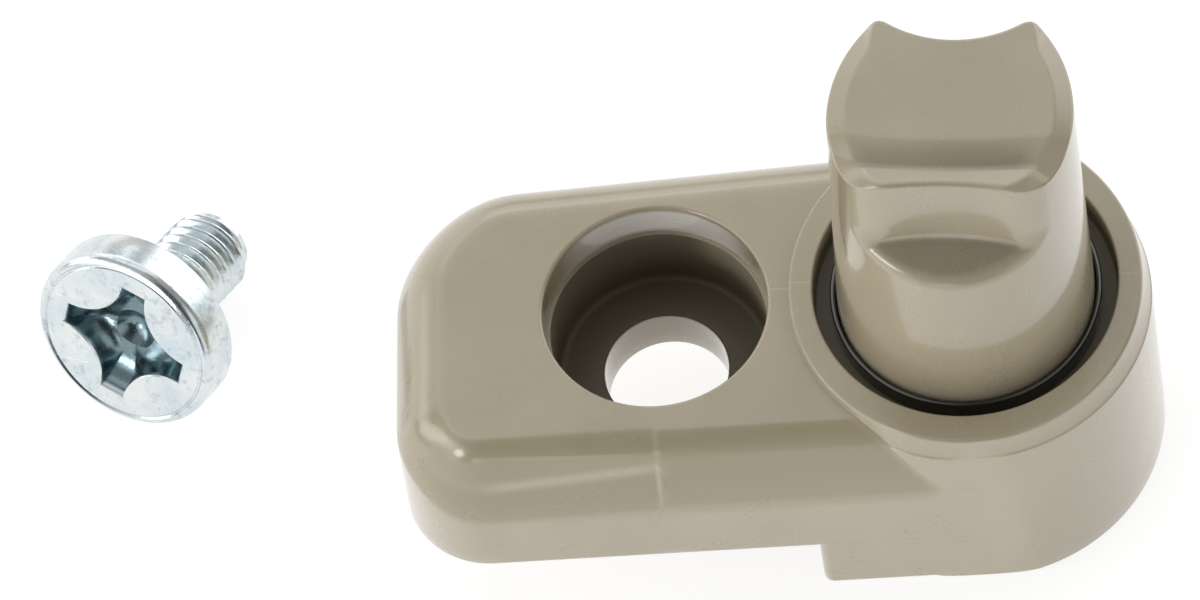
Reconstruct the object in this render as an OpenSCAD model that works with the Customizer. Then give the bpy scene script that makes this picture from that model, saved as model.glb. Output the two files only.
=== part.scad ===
// Sprung door lock for a small refrigerator, in millimetres.
// One screw holds the plate; a cam plunger stands in the round boss beside it.
// The origin is the centre of the screw hole at the plate's underside.
// +X runs along the plate to the boss, +Z points out of the plate.

/* [Plate] */
// Length of the plate with its boss
housing_l = 41; // [40.6:0.1:48]
// Thickness of the plate
plate_t = 10; // [9:0.5:12]
// Distance from the screw hole to the plate's free end
plate_left = 14.4; // [12:0.2:18]
// Distance from the screw hole to the plate's front side
plate_front = 9.7; // [9.3:0.1:10]
// Distance from the screw hole to the rear side, at the plate's free end
plate_rear = 8.8; // [8.4:0.1:9.6]
// Corner radius at the free end, front
corner_front = 4.9; // [4:0.1:7]
// Corner radius at the free end, rear
corner_rear = 6.2; // [4:0.1:7]
// Width of the soft rounding along the top edge, front
round_front_w = 3.5; // [2:0.1:3.9]
// Height of the soft rounding along the top edge, front
round_front_h = 4.6; // [2:0.1:6]
// Radius of the soft rounding along the top edge, free end and rear
round_rear = 3.1; // [2:0.1:3.9]

/* [Screw hole] */
// Diameter of the through hole
hole_d = 6.7; // [5.4:0.1:8]
// Diameter of the screw head's recess at its mouth
recess_d = 12; // [11.6:0.1:13]
// Depth of the wide band at the recess's mouth
recess_band = 2.4; // [1:0.1:4]
// Step of the recess wall below the band, on the radius
recess_step = 0.2; // [0.1:0.05:0.4]
// Plastic left under the recess
web_t = 3.1; // [2:0.1:4.5]

/* [Boss] */
// Diameter of the boss at the crease below its ring
boss_d = 19.26; // [19.1:0.02:21]
// Draft of the boss wall below the crease, mm of radius for each mm of height
boss_draft = 0.036; // [0:0.001:0.05]
// Height of the ring above the plate
ring_h = 0.6; // [0.3:0.1:2]
// How far the ring's side draws in from the crease to its top
ring_inset = 0.4; // [0.1:0.05:0.5]
// Height of that drawn-in side
ring_side = 1.8; // [0.8:0.1:2.4]
// Diameter of the well round the plunger
well_d = 16.14; // [16:0.02:16.6]
// Depth of the well below the ring
well_depth = 1.75; // [1.5:0.05:2.5]
// Thickness of the well's floor
well_floor = 0.8; // [0.6:0.1:1.4]
// Distance from the boss's axis to the foot's straight left side
foot_left = 8.75; // [8.6:0.05:10]

/* [Plunger] */
// Diameter of the plunger where it leaves the ring
plunger_d = 13.6; // [13:0.1:14]
// Height of the plunger above the ring
plunger_h = 17.1; // [14:0.1:22]
// Draft of the plunger, mm of radius for each mm of height
plunger_draft = 0.032; // [0:0.001:0.045]
// Travel of the plunger when it is pressed down
travel = 6; // [3:0.1:6]
// Turn of the head about the plunger's axis, degrees
head_turn = -5; // [-30:1:30]
// Bevel round the top edge
head_bevel = 1; // [0.4:0.1:1.4]
// Radius of the concave notch in the head's back
notch_r = 7.7; // [7:0.1:10]
// Distance from the plunger's axis to the bottom of the notch
notch_v = 4.25; // [3.5:0.05:5]
// Height of the notch's lower end above the ring, at its bottom
notch_rise = 3; // [2:0.1:8]
// Rounding of the two horns beside the notch
horn_r = 0.6; // [0.3:0.05:0.9]
// Radius of the hollow front face
face_r = 17; // [14:0.5:40]
// Distance from the plunger's axis to the middle of the front face
face_v = 4.15; // [3.8:0.05:4.6]
// Height of the front face
face_h = 5.3; // [3:0.1:8]
// Slope of the ledge below the front face, degrees
ledge_slope = 27; // [0:1:40]
// Radius of the shallow valley behind the front lip
valley_r = 5.2; // [4:0.1:9]
// Depth of the valley
valley_depth = 0.4; // [0.2:0.05:0.8]
// Distance from the plunger's axis to the middle of the valley
valley_v = 2.75; // [2.4:0.05:3.2]

/* [Plunger flange and spring] */
// Diameter of the flange that holds the plunger in
flange_d = 15; // [14.9:0.1:15.2]
// Thickness of the flange
flange_t = 1.6; // [1.2:0.1:2.5]
// Width of the lug that keeps the plunger from turning
lug_w = 1.8; // [1:0.1:3]
// How far the lug stands out of the flange
lug_l = 0.6; // [0.4:0.05:0.8]
// Diameter of the spring's seat bored into the plunger
spring_bore_d = 10; // [9.6:0.1:11]
// Plastic between that bore and the lower end of the notch
bore_roof = 1.6; // [1.2:0.1:2.4]
// Wire of the spring
wire_d = 0.8; // [0.6:0.05:0.9]
// Turns of the spring
spring_turns = 8; // [6:1:8]

/* [Guide bush and foot cap] */
// Height of the bush's body under the well's floor
bush_h = 2; // [1.5:0.1:3]
// Width of the bush's lip, which stands up round the plunger
lip_w = 0.3; // [0.25:0.05:0.5]
// Height of the lip above the well's floor
lip_h = 1.15; // [0.8:0.05:1.4]
// Thickness of the cap that closes the boss from below
cap_t = 1.9; // [1.2:0.1:3]
// Height of the cap's pin, which centres the spring
pin_h = 1.5; // [0.8:0.1:2]

/* [Fixing screw] */
// Diameter of the screw's head
screw_head_d = 11; // [9:0.1:11]
// Thickness of the head
screw_head_h = 2.6; // [2:0.1:3.5]
// Diameter of the shank
screw_d = 4.9; // [4:0.1:5]
// Length of the shank
screw_l = 7.6; // [6:0.1:20]
// Span of the cross recess
cross_span = 7.3; // [5:0.1:7.5]
// Width of the cross recess's wings
cross_w = 1.27; // [0.8:0.01:1.6]
// Distance from the plate's free end to the head's underside
screw_gap = 14.5; // [13:0.1:30]
// Distance of the head's underside behind the screw hole
screw_y = 6.6; // [-8:0.1:10]
// Direction in which the shank points, degrees from +X
screw_turn = 62; // [0:1:90]

/* [Hidden] */
$fn = 96;
eps = 0.01;
slip = 0.1;          // running gap round the plunger
stop_gap = 0.05;     // gap at the plunger's upper stop
bottom_gap = 0.6;    // room left under the flange when the plunger is down
reach = 20;          // cutting blocks and long bores pass well beyond the part
cap_inset = 0.2;     // how far the cap sits inside the foot
edge_r = 0.4;        // small moulded edges
ring_edge = 0.2;     // rounding of the ring's top edge
mouth_chamfer = 0.2;
well_edge = 0.1;
rear_taper = 0.045;  // the rear side opens towards the boss, mm for each mm

ring_z = plate_t + ring_h;
crease_z = ring_z - ring_side;
ring_r = boss_d / 2 - ring_inset;
well_z = ring_z - well_depth;
shoulder_z = well_z - well_floor;
bush_z = shoulder_z - bush_h;
plunger_r = plunger_d / 2;
top_z = ring_z + plunger_h;
flange_top = bush_z - stop_gap;
flange_z = flange_top - flange_t;
floor_z = flange_z - travel - bottom_gap;
foot_z = floor_z - cap_t - cap_inset;
boss_x = housing_l - plate_left - boss_r(foot_z);
screw_x = -plate_left - screw_gap;
bore_r = flange_d / 2 + 0.25;
skirt_r = plunger_r + 0.05;
bush_inner = skirt_r + slip / 2;
lip_r = bush_inner + lip_w;
bore_top = ring_z + notch_rise - bore_roof;
spring_r = spring_bore_d / 2 - 0.4 - wire_d / 2;
pin_r = spring_r - wire_d / 2 - 0.4;
lug_gap = 0.25;
screw_tip = 0.4;
screw_tilt = atan((screw_head_d / 2 - screw_d / 2) / (screw_l - screw_tip));

plastic = [0.63, 0.60, 0.54];
dark_plastic = [0.16, 0.14, 0.11];

function boss_r(z) = boss_d / 2 + boss_draft * (crease_z - z);
function shaft_r(z) = plunger_r - plunger_draft * (z - ring_z);
function arc(cx, cy, rx, ry, a0, a1, n) =
    [for (i = [0:n]) let (a = a0 + (a1 - a0) * i / n) [cx + rx * cos(a), cy + ry * sin(a)]];
// How far a soft edge of width w and height h has drawn in at height z
function drawn_in(z, w, h) =
    let (s = max(0, z - plate_t + h) / h) w * (1 - sqrt(max(0, 1 - s * s)));
function rear_y(x) = plate_rear + rear_taper * (x + plate_left - corner_rear);

// Plate outline at height z, seen from above, with its free end on the left
function plate_outline(z, bottom = 0) =
    let (f = drawn_in(z, round_front_w, round_front_h) + bottom,
         r = drawn_in(z, round_rear, round_rear) + bottom,
         n = 9)
    concat(
        [[boss_x, -plate_front + f]],
        [for (p = arc(-plate_left + corner_front, -plate_front + corner_front,
                      corner_front - r, corner_front - f, 270, 180, n)) p],
        [for (p = arc(-plate_left + corner_rear, plate_rear - corner_rear,
                      corner_rear - r, corner_rear - r, 180, 90, n)) p],
        [[boss_x, rear_y(boss_x) - r]]);

module plate_body() {
    levels = 7;
    hull() {
        for (i = [0:levels]) {
            z = plate_t - round_front_h * (1 - sin(90 * i / levels));
            translate([0, 0, z - eps]) linear_extrude(eps) polygon(plate_outline(z));
        }
        linear_extrude(eps) polygon(plate_outline(0, edge_r));
        translate([0, 0, edge_r]) linear_extrude(eps) polygon(plate_outline(0));
    }
}

// Foot under the boss: straight at the front and left, round at the back and right
module foot_body() {
    foot_rear = rear_y(boss_x - foot_left);
    lap = 2 * edge_r;  // how far it reaches up into the plate, past the plate's lower edge
    hull() {
        for (level = [[foot_z, edge_r], [foot_z + edge_r, 0], [lap, 0]])
            translate([boss_x, 0, level[0]]) linear_extrude(eps) polygon(concat(
                arc(-foot_left + edge_r * 2, -plate_front + edge_r * 2,
                    edge_r * 2 - level[1], edge_r * 2 - level[1], 180, 270, 4),
                [[0, -plate_front + level[1]], [0, foot_rear - level[1]]],
                arc(-foot_left + edge_r * 2, foot_rear - edge_r * 2,
                    edge_r * 2 - level[1], edge_r * 2 - level[1], 90, 180, 4)));
    }
}

module boss_body() {
    difference() {
        translate([boss_x, 0, 0]) rotate_extrude($fn = 128) polygon(concat(
            [[0, foot_z]],
            arc(boss_r(foot_z) - edge_r, foot_z + edge_r, edge_r, edge_r, 270, 360, 4),
            [[boss_d / 2, crease_z]],
            arc(ring_r - ring_edge, ring_z - ring_edge, ring_edge, ring_edge, 12, 90, 3),
            [[0, ring_z]]));
        // the boss is flush with the plate's front side
        translate([boss_x - reach, -plate_front - reach, foot_z - 1])
            cube([2 * reach, reach, ring_z - foot_z + 2]);
        // below the plate it ends at the foot's straight left side
        translate([boss_x - foot_left - reach, -reach, foot_z - 1]) cube([reach, 2 * reach, 1 - foot_z]);
    }
}

module screw_hole() {
    translate([0, 0, -1]) cylinder(d = hole_d, h = plate_t);
    translate([0, 0, web_t]) cylinder(r = recess_d / 2 - recess_step, h = plate_t);
    translate([0, 0, plate_t - recess_band]) cylinder(d = recess_d, h = plate_t);
    translate([0, 0, plate_t - mouth_chamfer])
        cylinder(r1 = recess_d / 2, r2 = recess_d / 2 + mouth_chamfer + eps, h = mouth_chamfer + eps);
}

// Well round the plunger, opening for the bush's lip, then the flange's bore with
// the groove for its lug, open at the foot for assembly
module boss_bore() {
    translate([boss_x, 0, 0]) {
        translate([0, 0, well_z]) cylinder(d = well_d, h = ring_z, $fn = 128);
        translate([0, 0, ring_z - well_edge])
            cylinder(r1 = well_d / 2, r2 = well_d / 2 + well_edge + eps, h = well_edge + eps, $fn = 128);
        translate([0, 0, shoulder_z - 1]) cylinder(r = lip_r, h = ring_z, $fn = 128);
        translate([0, 0, foot_z - 1]) cylinder(r = bore_r, h = shoulder_z - foot_z + 1);
        rotate([0, 0, head_turn]) translate([0, -lug_w / 2 - lug_gap, foot_z - 1])
            cube([flange_d / 2 + lug_l + lug_gap, lug_w + 2 * lug_gap, bush_z - foot_z + 1]);
    }
}

module housing() {
    color(plastic) difference() {
        union() {
            plate_body();
            foot_body();
            boss_body();
        }
        screw_hole();
        boss_bore();
    }
}

// Solid under a slope that falls away from the plunger's axis, from height z at distance v
module below_slope(v, z) {
    translate([0, v, z]) rotate([sign(v) * -ledge_slope, 0, 0])
        translate([-reach, -reach, -reach]) cube([2 * reach, 2 * reach, reach]);
}

// Notch in the back, leaving two horns with rounded tips, down to a sloping shelf
module back_notch() {
    centre_v = notch_v + notch_r;
    horn_reach = shaft_r(top_z) - horn_r;
    horn_v = (pow(horn_reach, 2) - pow(notch_r + horn_r, 2) + pow(centre_v, 2)) / (2 * centre_v);
    horn_u = sqrt(pow(horn_reach, 2) - pow(horn_v, 2));
    tip_cut = horn_v + 0.8 * horn_r;
    difference() {
        union() {
            translate([0, centre_v, ring_z]) cylinder(r = notch_r, h = plunger_h + reach);
            translate([-reach, tip_cut, ring_z]) cube([2 * reach, reach, plunger_h + reach]);
        }
        below_slope(notch_v, ring_z + notch_rise);
        for (side = [-1, 1])
            translate([side * horn_u, horn_v, ring_z - reach])
                cylinder(r = horn_r, h = plunger_h + 2 * reach, $fn = 32);
    }
}

// Hollow front face that ends on a sloping ledge
module front_cut() {
    ledge_z = top_z - face_h;
    difference() {
        translate([0, -face_v - face_r, ledge_z - reach]) cylinder(r = face_r, h = 2 * reach, $fn = 160);
        below_slope(-face_v, ledge_z);
    }
}

module top_valley() {
    translate([-reach, -valley_v, top_z - valley_depth + valley_r]) rotate([0, 90, 0])
        cylinder(r = valley_r, h = 2 * reach);
}

module cam_plunger() {
    color(plastic) translate([boss_x, 0, 0]) rotate([0, 0, head_turn]) difference() {
        union() {
            rotate_extrude($fn = 128) polygon(concat(
                [[0, flange_z], [flange_d / 2, flange_z], [flange_d / 2, flange_top],
                 [skirt_r, flange_top], [skirt_r, well_z - 0.5], [shaft_r(ring_z), ring_z]],
                arc(shaft_r(top_z) - head_bevel, top_z - head_bevel, head_bevel, head_bevel, 0, 90, 6),
                [[0, top_z]]));
            translate([skirt_r, -lug_w / 2, flange_z])
                cube([flange_d / 2 + lug_l - skirt_r, lug_w, flange_t]);
        }
        translate([0, 0, flange_z - 1]) cylinder(d = spring_bore_d, h = bore_top - flange_z + 1);
        back_notch();
        front_cut();
        top_valley();
    }
}

// Compression spring: a closed turn at each end and even pitch between
function coil_rise(t) =
    let (low = floor_z + 0.05 + wire_d / 2, high = bore_top - 0.05 - wire_d / 2,
         last = spring_turns - 1, span = high - low - 2 * wire_d)
    t < 1 ? low + t * wire_d
    : t > last ? high - (spring_turns - t) * wire_d
    : low + wire_d + span * (t - 1) / (last - 1);

module plunger_spring() {
    steps = 20;
    sides = 8;
    rings = spring_turns * steps;
    points = [for (i = [0:rings], k = [0:sides - 1])
        let (t = i / steps, a = 360 * t, b = 360 * k / sides, r = spring_r + wire_d / 2 * cos(b))
        [r * cos(a), r * sin(a), coil_rise(t) + wire_d / 2 * sin(b)]];
    walls = [for (i = [0:rings - 1], k = [0:sides - 1])
        let (a = i * sides + k, b = i * sides + (k + 1) % sides)
        [a, b, b + sides, a + sides]];
    ends = [[for (k = [sides - 1:-1:0]) k], [for (k = [0:sides - 1]) rings * sides + k]];
    color([0.7, 0.72, 0.74]) translate([boss_x, 0, 0])
        polyhedron(points, concat(walls, ends), convexity = 10);
}

// Ring under the well's floor, with a thin round-edged lip up through the opening
module guide_bush() {
    color(dark_plastic) translate([boss_x, 0, 0]) rotate_extrude($fn = 128) polygon(concat(
        [[bush_inner, bush_z], [bore_r, bush_z], [bore_r, shoulder_z], [lip_r, shoulder_z]],
        arc(lip_r - lip_w / 2, well_z + lip_h - lip_w / 2, lip_w / 2, lip_w / 2, 0, 180, 6)));
}

// Disc pressed into the foot, with a pin inside the spring
module foot_cap() {
    color(plastic) translate([boss_x, 0, 0]) rotate_extrude() polygon([
        [0, foot_z + cap_inset], [bore_r - mouth_chamfer, foot_z + cap_inset],
        [bore_r, foot_z + cap_inset + mouth_chamfer], [bore_r, floor_z],
        [pin_r, floor_z], [pin_r, floor_z + pin_h - mouth_chamfer],
        [pin_r - mouth_chamfer, floor_z + pin_h], [0, floor_z + pin_h]]);
}

module cross_recess() {
    wing = cross_w / 2;
    intersection() {
        translate([0, 0, -2]) cylinder(r1 = 0.9, r2 = cross_span / 2 + 0.3, h = 2.3, $fn = 48);
        union() {
            for (a = [0, 90])
                rotate([0, 0, a]) translate([-cross_span / 2, -wing, -2]) cube([cross_span, cross_w, 3]);
            for (a = [0:90:270])
                rotate([0, 0, a]) translate([0, 0, -2]) linear_extrude(3)
                    polygon([[0, 0], [wing + 1, wing], [wing, wing + 1]]);
        }
    }
}

// Cheese-head screw, taken out and lying on its side: the head's rim and the
// shank's end touch the surface that the foot stands on
module fixing_screw() {
    color([0.78, 0.8, 0.8])
        translate([screw_x, screw_y, foot_z + screw_head_d / 2 * cos(screw_tilt)])
        rotate([0, 0, screw_turn]) rotate([0, 90 + screw_tilt, 0]) difference() {
            rotate_extrude() polygon(concat(
                [[0, -screw_head_h]],
                arc(screw_head_d / 2 - 0.6, 0.6 - screw_head_h, 0.6, 0.6, -90, 0, 4),
                [[screw_head_d / 2, 0], [screw_d / 2, 0], [screw_d / 2, screw_l - screw_tip],
                 [screw_d / 2 - screw_tip, screw_l], [0, screw_l]]));
            translate([0, 0, -screw_head_h]) rotate([180, 0, 8]) cross_recess();
        }
}

housing();
cam_plunger();
plunger_spring();
guide_bush();
foot_cap();
fixing_screw();
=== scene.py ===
import bpy
import math
import numpy as np
from mathutils import Matrix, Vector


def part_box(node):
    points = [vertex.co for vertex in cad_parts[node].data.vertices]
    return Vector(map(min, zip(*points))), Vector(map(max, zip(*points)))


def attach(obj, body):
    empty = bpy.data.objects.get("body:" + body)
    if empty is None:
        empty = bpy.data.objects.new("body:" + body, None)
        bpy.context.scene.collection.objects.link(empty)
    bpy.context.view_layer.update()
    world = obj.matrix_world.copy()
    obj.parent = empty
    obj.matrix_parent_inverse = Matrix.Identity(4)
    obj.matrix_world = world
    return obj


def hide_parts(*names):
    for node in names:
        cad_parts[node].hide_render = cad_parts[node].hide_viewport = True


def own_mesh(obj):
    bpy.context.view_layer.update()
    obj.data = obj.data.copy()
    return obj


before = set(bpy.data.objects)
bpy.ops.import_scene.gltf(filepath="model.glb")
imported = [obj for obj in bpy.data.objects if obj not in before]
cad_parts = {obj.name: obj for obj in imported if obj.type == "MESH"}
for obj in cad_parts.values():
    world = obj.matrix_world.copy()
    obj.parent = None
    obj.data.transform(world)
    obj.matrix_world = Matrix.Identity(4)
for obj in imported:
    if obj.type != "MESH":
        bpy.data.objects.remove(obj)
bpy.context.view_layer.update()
scene = bpy.context.scene
scene.view_settings.view_transform = "Standard"
print("frame loaded")

mm = 0.001
plateTop = 10.0                 # heights are in mm above the plate's underside
ringTop = 10.6
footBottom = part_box("housing")[0].z / mm
bossX = (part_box("guide_bush")[0].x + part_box("guide_bush")[1].x) / 2 / mm


cameraSetup = {
    "place": (26.755, -176.719, 314.878),      # mm
    "right": (0.9946058, -0.0109740, -0.1031449),
    "down": (-0.0611156, -0.8654543, -0.4972462),
    "forward": (-0.0838104, 0.5008677, -0.8614566),
    "lens": 200.115, "sensor": 36.0, "shiftX": 0.00026, "shiftY": 0.00017,
}


def placeCamera(c):
    data = bpy.data.cameras.new("camera")
    data.lens, data.sensor_width = c["lens"], c["sensor"]
    data.shift_x, data.shift_y = c["shiftX"], c["shiftY"]
    data.clip_start, data.clip_end = 0.01, 5.0
    camera = bpy.data.objects.new("camera", data)
    axes = Matrix((c["right"], [-v for v in c["down"]], [-v for v in c["forward"]])).transposed()
    camera.matrix_world = Matrix.Translation([v * mm for v in c["place"]]) @ axes.to_4x4()
    scene.collection.objects.link(camera)
    scene.camera = camera


placeCamera(cameraSetup)


class Value:
    # a shader socket that takes part in Python expressions
    def __init__(self, tree, socket):
        self.tree, self.socket = tree, socket

    def math(self, operation, other=None, swap=False):
        first, second = (other, self) if swap else (self, other)
        inputs = [first] if second is None else [first, second]
        return self.tree.add("ShaderNodeMath", {"operation": operation}, inputs)

    def __add__(self, other):
        return self.math("ADD", other)

    def __sub__(self, other):
        return self.math("SUBTRACT", other)

    def __rsub__(self, other):
        return self.math("SUBTRACT", other, swap=True)

    def __mul__(self, other):
        return self.math("MULTIPLY", other)

    __radd__ = __add__
    __rmul__ = __mul__

    def between(self, low, high):
        # 0 below low, 1 above high, smooth in between
        return self.tree.add("ShaderNodeMapRange", {"interpolation_type": "SMOOTHSTEP"},
                             [self, low, high, 0.0, 1.0])


class Tree:
    # a node tree that takes nodes as (type, settings, inputs)
    def __init__(self, nodeTree):
        self.nodes, self.links = nodeTree.nodes, nodeTree.links

    def add(self, kind, settings=(), inputs=(), output=0):
        node = self.nodes.new(kind)
        for key, value in dict(settings).items():
            setattr(node, key, value)
        named = inputs.items() if isinstance(inputs, dict) else enumerate(inputs)
        for key, value in named:
            self.put(node, key, value)
        return Value(self, node.outputs[output])

    def put(self, node, key, value):
        if isinstance(value, Value):
            self.links.new(value.socket, node.inputs[key])
        else:
            node.inputs[key].default_value = value

    def noise(self, where, scale, detail=2.0, rough=0.5, stretch=None):
        if stretch:
            where = self.add("ShaderNodeMapping", {}, {"Vector": where, "Scale": stretch})
        return self.add("ShaderNodeTexNoise", {}, {"Vector": where, "Scale": scale, "Detail": detail,
                                                   "Roughness": rough})

    def bump(self, height, strength, depth):
        # depth is in mm
        inputs = {"Strength": strength, "Distance": depth * mm, "Height": height}
        return self.add("ShaderNodeBump", {}, inputs)

    def mix(self, share, first, second):
        node = self.nodes.new("ShaderNodeMix")
        node.data_type = "RGBA"
        for key, value in ((0, share), (6, first), (7, second)):
            self.put(node, key, value)
        return Value(self, node.outputs[2])

    def split(self, vector):
        node = self.nodes.new("ShaderNodeSeparateXYZ")
        self.links.new(vector.socket, node.inputs[0])
        return [Value(self, o) for o in node.outputs]


def newMaterial(name, fixed):
    material = bpy.data.materials.new(name)
    material.use_nodes = True
    tree = Tree(material.node_tree)
    shader = tree.nodes["Principled BSDF"]
    for key, value in fixed.items():
        shader.inputs[key].default_value = value
    place = tree.add("ShaderNodeTexCoord", {}, (), 3)
    return material, tree, shader, place


def smooth(x, low, high):
    t = np.clip((x - low) / (high - low), 0, 1)
    return t * t * (3 - 2 * t)


def gridQuads(rows, columns, around=True):
    # quads of a grid whose points run along the columns first; around joins the last column to the first
    r, c = np.meshgrid(np.arange(rows - 1), np.arange(columns if around else columns - 1), indexing="ij")
    n = (c + 1) % columns
    corners = [r * columns + c, r * columns + n, (r + 1) * columns + n, (r + 1) * columns + c]
    return np.stack(corners, -1).reshape(-1, 4)


def endCaps(rows, columns):
    # the rings of point numbers that close a grid's first and last row
    return [np.arange(columns)[::-1], np.arange(columns) + (rows - 1) * columns]


def makePiece(name, points, quads, caps=(), normals=None):
    # points are (n, 3) in mm, quads (m, 4), caps rings of point numbers that one face closes
    points = np.asarray(points, float).reshape(-1, 3)
    corners = np.concatenate([np.asarray(quads).ravel()] + [np.asarray(c) for c in caps]).astype(np.int32)
    sizes = np.array([4] * len(quads) + [len(c) for c in caps])
    mesh = bpy.data.meshes.new(name)
    mesh.vertices.add(len(points))
    mesh.vertices.foreach_set("co", (points * mm).astype(np.float32).ravel())
    mesh.loops.add(len(corners))
    mesh.loops.foreach_set("vertex_index", corners)
    mesh.polygons.add(len(sizes))
    mesh.polygons.foreach_set("loop_start", (np.cumsum(sizes) - sizes).astype(np.int32))
    mesh.update(calc_edges=True)
    mesh.validate()
    mesh.shade_smooth()
    if normals is not None:
        mesh.normals_split_custom_set_from_vertices(np.asarray(normals, float).reshape(-1, 3))
    piece = bpy.data.objects.new(name, mesh)
    scene.collection.objects.link(piece)
    return piece


def revolve(name, profile, columns, centre=(0.0, 0.0), stretch=None, closed=False):
    # the profile's (radius, height) points turned round a vertical axis;
    # stretch(angle, radii, heights) may bend them, and closed joins the profile's end to its start
    profile = np.asarray(profile, float)
    angle = np.linspace(0, 2 * np.pi, columns, endpoint=False)
    radii = np.repeat(profile[:, :1], columns, 1)
    heights = np.repeat(profile[:, 1:], columns, 1)
    if stretch:
        radii = stretch(angle[None, :], radii, heights)
    points = np.stack([centre[0] + radii * np.cos(angle), centre[1] + radii * np.sin(angle), heights], -1)
    rows = len(profile)
    quads = gridQuads(rows, columns)
    if closed:
        strip = gridQuads(2, columns)
        strip = np.where(strip < columns, strip + (rows - 1) * columns, strip - columns)
        return makePiece(name, points, np.concatenate([quads, strip]))
    return makePiece(name, points, quads, endCaps(rows, columns))


def arcPoints(centre, radius, start, end, steps):
    # (radius, height) points of an arc between two angles in degrees
    a = np.radians(np.linspace(start, end, steps + 1))
    return np.stack([centre[0] + radius * np.cos(a), centre[1] + radius * np.sin(a)], -1)


def bakeModifiers(piece):
    # the piece's mesh becomes what its modifiers make of it
    mesh = bpy.data.meshes.new_from_object(piece.evaluated_get(bpy.context.evaluated_depsgraph_get()))
    piece.modifiers.clear()
    piece.data = mesh


def combine(piece, others):
    # others is a list of (operation, object), joined or cut one after the other
    for operation, other in others:
        modifier = piece.modifiers.new(operation, "BOOLEAN")
        modifier.operation, modifier.solver, modifier.object = operation, "EXACT", other
    bakeModifiers(piece)
    for _, other in others:
        bpy.data.objects.remove(other)


def finishShading(piece, degrees):
    piece.data.shade_smooth()
    piece.data.set_sharp_from_angle(angle=math.radians(degrees))
    weighted = piece.modifiers.new("flatFaces", "WEIGHTED_NORMAL")
    weighted.keep_sharp, weighted.weight = True, 60
    bakeModifiers(piece)


def dress(piece, material, body, slot, *nodes):
    piece.data.materials.clear()
    piece.data.materials.append(material)
    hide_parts(*nodes)
    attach(piece, body)


def rises(value, low, high):
    # 0 below low and 1 above high, in mm
    return value.between(low * mm, high * mm)


def inside(value, low, high, soft):
    # 1 between low and high and 0 outside, with soft ends, in mm
    return rises(value, low - soft, low + soft) * (1.0 - rises(value, high - soft, high + soft))


# besides the plastic's own tones and wear, the colours give the painted shade on the front's rounding and in
# hollows, the painted highlight on the rounding's ridge and the painted light on the counterbore's rear band
plasticLook = {
    "colour": (0.388, 0.335, 0.234), "wearAndHighlight": (0.52, 0.47, 0.38), "edge": (0.300, 0.257, 0.160),
    "deep": (0.352, 0.302, 0.209), "paintedShade": (0.085, 0.070, 0.040), "paintedRearLight": (0.66, 0.61, 0.56),
    "roughness": 0.28, "coat": 0.8, "swirl": 150.0, "grain": 5200.0, "scratch": 420.0,
    "cavity": 0.85, "well": 0.9, "mark": 0.3, "rounding": 1.0, "ridge": 0.5, "hollow": 0.4,
}
# where the marks, the painted shade and the painted light on the moulded pieces lie, in mm: a pair is a
# mark's two ends, or where its fading starts and ends
plasticPlaces = {
    "frontX": (-12.5, 14.5), "frontY": (-7.6, -7.2), "frontLow": (4.2, 5.2), "frontTop": (9.92, 9.98),
    "frontBoss": (9.85, 10.0), "toneZ": (7.5, 9.5), "toneX": (-1.0, 1.0),
    "ridgeX": (-9.2, -0.2), "ridgeY": (-7.8, -7.2), "ridgeZ": 8.23, "ridgeClimb": 0.096, "ridgeHalf": 0.6,
    "headTurn": 0.087, "valley": (-5.0, -2.0), "valleyCrease": (-3.12, -2.95), "valleyZ": (26.2, 26.6),
    "valleyMiddle": -0.3, "valleySide": (3.6, 5.0),
    "ledgeR": (5.7, 6.2), "ledgeY": (-4.2, -3.6), "ledgeZ": (19.5, 22.4),
    "boreR": (6.06, 6.14), "cavityZ": (3.02, 7.58), "lessShadeX": (1.6, 3.2), "lessShadeZ": (4.8, 6.4),
    "bandZ": (7.66, 9.6), "bandFront": (-1.0, 3.5), "bandRear": (3.0, 5.4),
    "ditchR": (7.1, 8.1), "ditchZ": (8.6, 10.0),
    "partingY": 0.83, "partingClimb": 0.038, "partingEdge": (0.012, 0.045), "partingZ": (8.5, 8.7),
    "partingPlate": (6.1, 8.4), "partingRing": (24.6, 25.6),
    "seamX": (-0.30, -0.08), "seamY": (-8.6, -8.0), "seamZ": (5.5, 8.6),
}


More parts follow.
